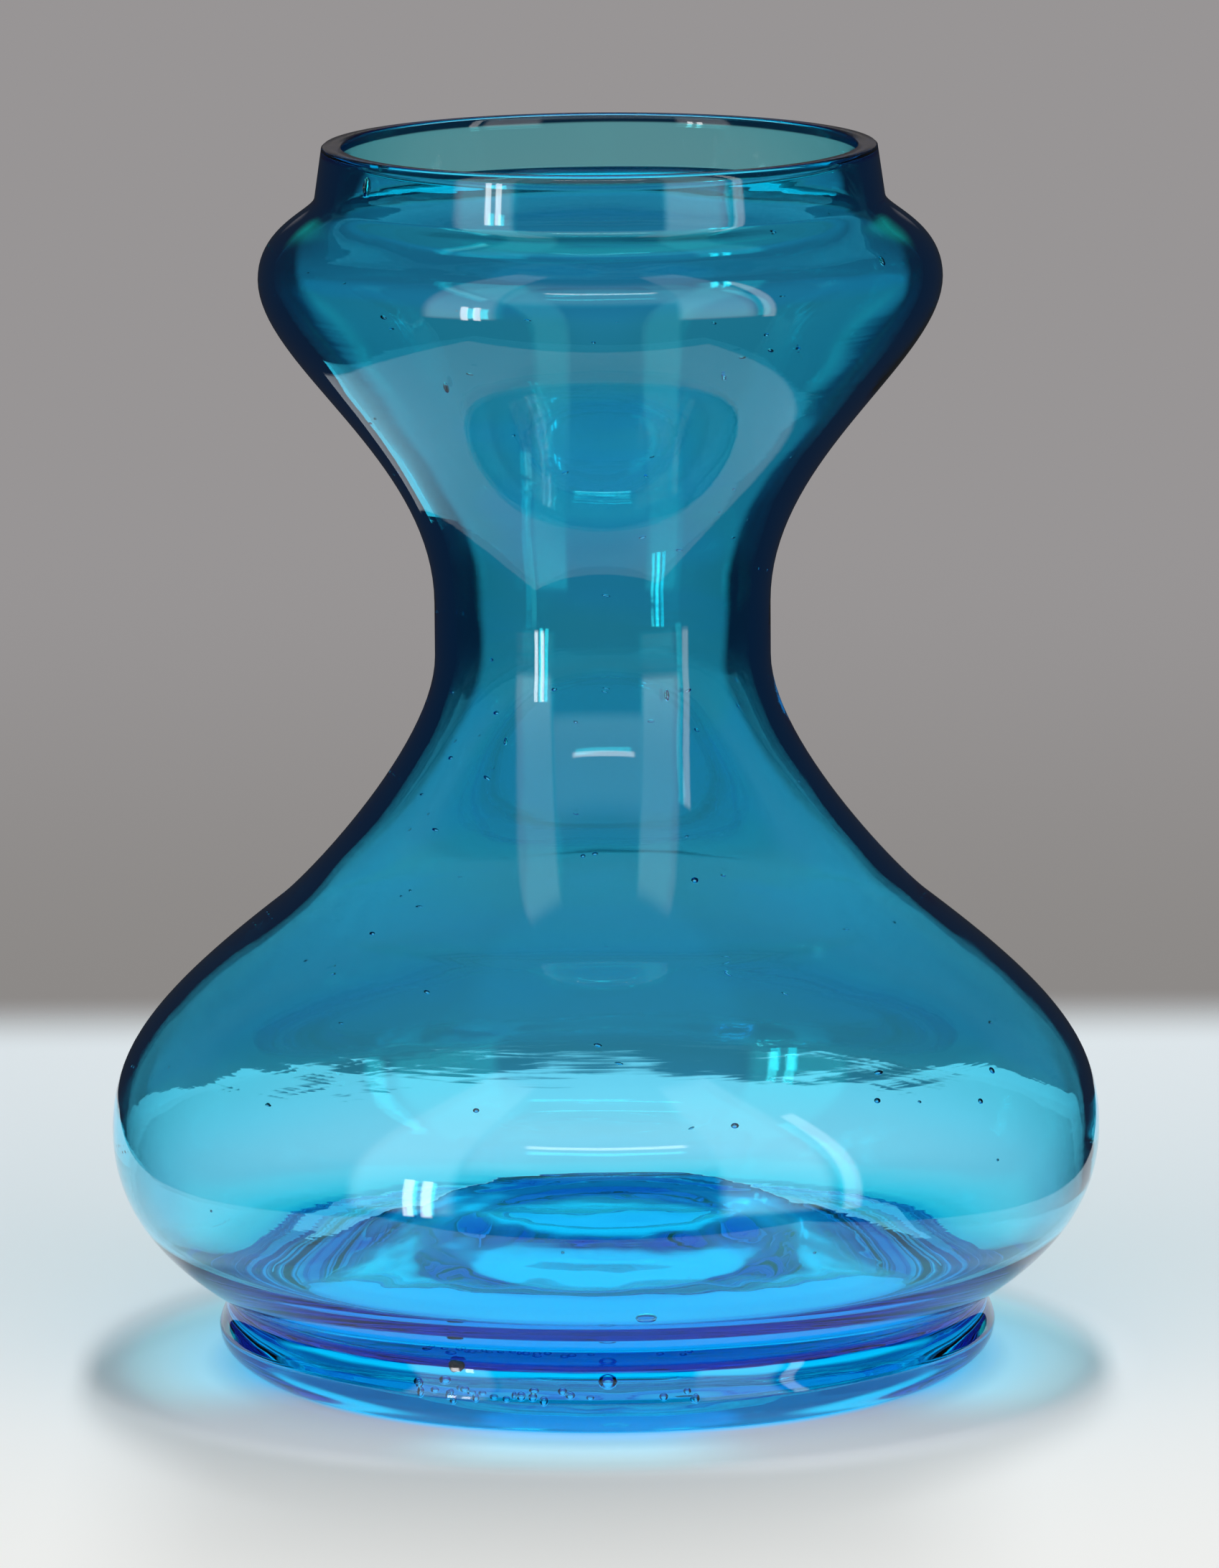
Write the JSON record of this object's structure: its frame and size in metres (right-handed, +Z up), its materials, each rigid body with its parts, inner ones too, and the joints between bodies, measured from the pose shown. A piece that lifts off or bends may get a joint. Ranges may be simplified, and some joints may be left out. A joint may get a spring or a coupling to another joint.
{
  "type": "hyacinth forcing vase",
  "caption": "Squat blown glass vase for forcing a hyacinth bulb: a wide cup with an upright collar over a narrow waist and a broad water reservoir on a thick ring foot.",
  "frame": {"origin": "middle of the ring that the foot stands on, at table level", "axes": "+Z up the axis of turning, from the foot to the ground rim; +X and +Y lie in the table and are alike, because the vase is turned"},
  "size_m": [0.12, 0.12, 0.148],
  "materials": {
    "blue_glass": "clear glossy soda glass, coloured turquoise blue right through"
  },
  "bodies": {
    "root": {"rim_collar": "blue_glass", "cup_shoulder": "blue_glass", "bulb_cup": "blue_glass", "neck": "blue_glass", "reservoir_shoulder": "blue_glass", "reservoir_bowl": "blue_glass", "base_floor": "blue_glass", "foot_ring": "blue_glass"}
  },
  "joints": []
}
